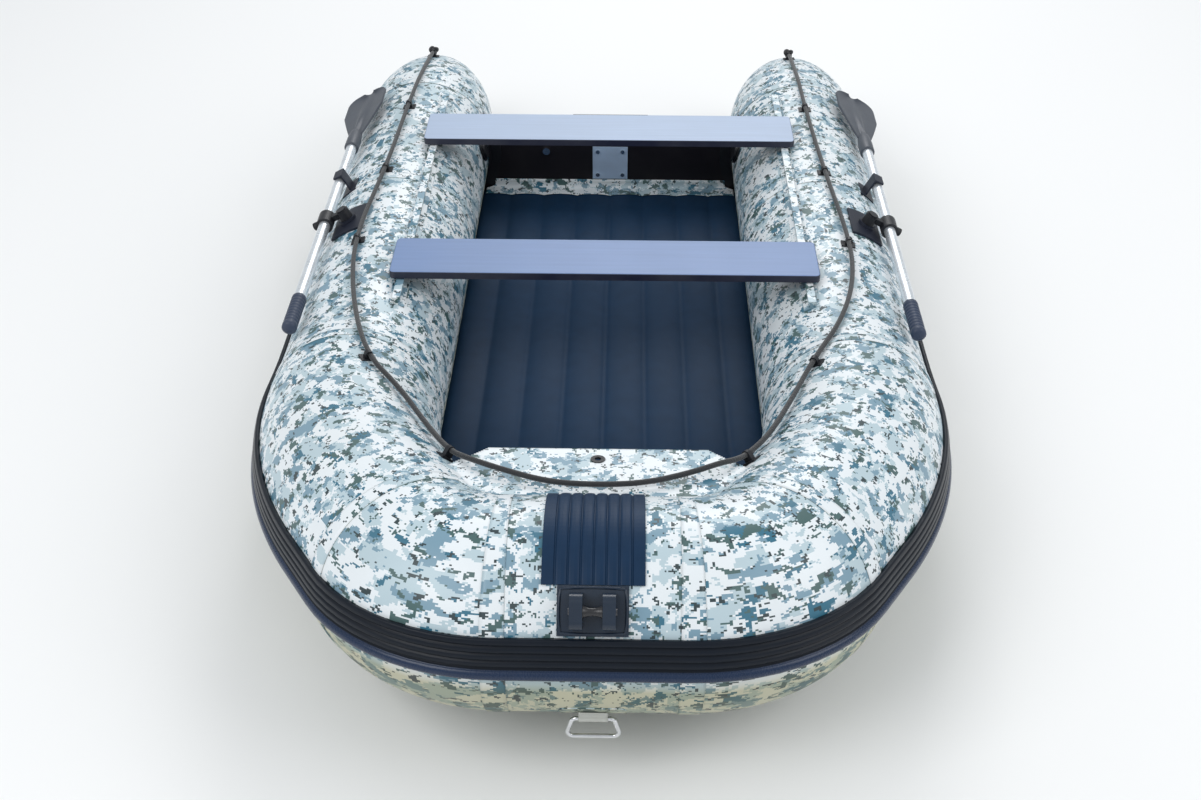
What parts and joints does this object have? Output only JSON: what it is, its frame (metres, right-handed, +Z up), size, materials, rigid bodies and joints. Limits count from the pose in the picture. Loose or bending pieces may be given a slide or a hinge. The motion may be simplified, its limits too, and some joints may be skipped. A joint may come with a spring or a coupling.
{
  "type": "inflatable dinghy",
  "caption": "Open U-shaped inflatable boat with a rising bow, air floor, outboard transom, sliding bench seats, side oars on swivel rowlocks, lifeline and bow fairlead.",
  "frame": {"origin": "on the ground under the middle of the hull", "axes": "+Y towards the stern, +X to port, +Z up"},
  "size_m": [1.5332, 2.8, 0.5035],
  "materials": {
    "camo_fabric": "matte, digital camouflage print",
    "strake_rubber": "satin ribbed",
    "pad_rubber": "satin ribbed",
    "floor_fabric": "matte",
    "camo_trim": "coated woven fabric",
    "transom_board": "painted black",
    "seat_board": "painted, satin",
    "aluminium_plate": "satin",
    "oar_alloy": "polished tube",
    "stainless": "polished stainless steel",
    "black_plastic": "moulded, matte",
    "blade_plastic": "moulded, satin",
    "grip_plastic": "moulded, matte",
    "pale_plastic": "moulded, matte",
    "rope_fibre": "braided"
  },
  "bodies": {
    "hull": {"apron_eyelet": "black_plastic", "baffles": "camo_fabric", "bottom_panel": "camo_fabric", "bow_apron": "camo_trim", "bow_pad": "pad_rubber", "bow_ring_patch": "camo_trim", "bow_strake": "strake_rubber", "bow_tube": "camo_fabric", "fairlead": "black_plastic", "floor_mat": "floor_fabric", "inner_motor_plate": "aluminium_plate", "keel_guard": "strake_rubber", "lifeline": "rope_fibre", "lifeline_holders": "black_plastic", "lifeline_knots": "rope_fibre", "oar_clips": "black_plastic", "outer_motor_pad": "black_plastic", "port_bow_bend": "camo_fabric", "port_bow_corner": "camo_fabric", "port_side_tube": "camo_fabric", "port_strake": "strake_rubber", "port_tail_cone": "camo_fabric", "roller_pin": "stainless", "rowlock_bases": "black_plastic", "seat_rails": "pale_plastic", "starboard_bow_bend": "camo_fabric", "starboard_bow_corner": "camo_fabric", "starboard_side_tube": "camo_fabric", "starboard_strake": "strake_rubber", "starboard_tail_cone": "camo_fabric", "tail_caps": "black_plastic", "tow_eye": "stainless", "transom": "transom_board", "transom_bolts": "stainless", "transom_flap": "camo_trim", "transom_holders": "black_plastic", "valve_bodies": "black_plastic", "valve_caps": "black_plastic"},
    "front_seat": {"front_seat": "seat_board", "front_seat_sliders": "black_plastic"},
    "rear_seat": {"rear_seat": "seat_board", "rear_seat_sliders": "black_plastic"},
    "port_oar": {"port_rowlock_yoke": "black_plastic", "port_oar_shaft": "oar_alloy", "port_oar_grip": "grip_plastic", "port_oar_blade": "blade_plastic"},
    "starboard_oar": {"starboard_rowlock_yoke": "black_plastic", "starboard_oar_shaft": "oar_alloy", "starboard_oar_grip": "grip_plastic", "starboard_oar_blade": "blade_plastic"},
    "roller": {"fairlead_roller": "black_plastic"},
    "bow_ring": {"bow_ring": "stainless"}
  },
  "joints": [
    {"name": "front_seat_slide", "type": "slide", "parent": "hull", "child": "front_seat", "axis": [0, 1, 0], "range_m": [-0.115, 0.3]},
    {"name": "rear_seat_slide", "type": "slide", "parent": "hull", "child": "rear_seat", "axis": [0, 1, 0], "range_m": [-0.22, 0.165]},
    {"name": "port_oar_swivel", "type": "hinge", "parent": "hull", "child": "port_oar", "pos_m": [0.64508, 0.095, 0.36529], "axis": [0.4695, 0, 0.8829], "range_deg": [-100, 0]},
    {"name": "starboard_oar_swivel", "type": "hinge", "parent": "hull", "child": "starboard_oar", "pos_m": [-0.64508, 0.095, 0.36529], "axis": [-0.4695, 0, 0.8829], "range_deg": [0, 100]},
    {"name": "fairlead_roller_spin", "type": "hinge", "parent": "hull", "child": "roller", "pos_m": [0, -1.36011, 0.44411], "axis": [1, 0, 0], "continuous": true},
    {"name": "bow_ring_swing", "type": "hinge", "parent": "hull", "child": "bow_ring", "pos_m": [0, -1.35067, 0.17201], "axis": [1, 0, 0], "range_deg": [-130, 20]}
  ]
}
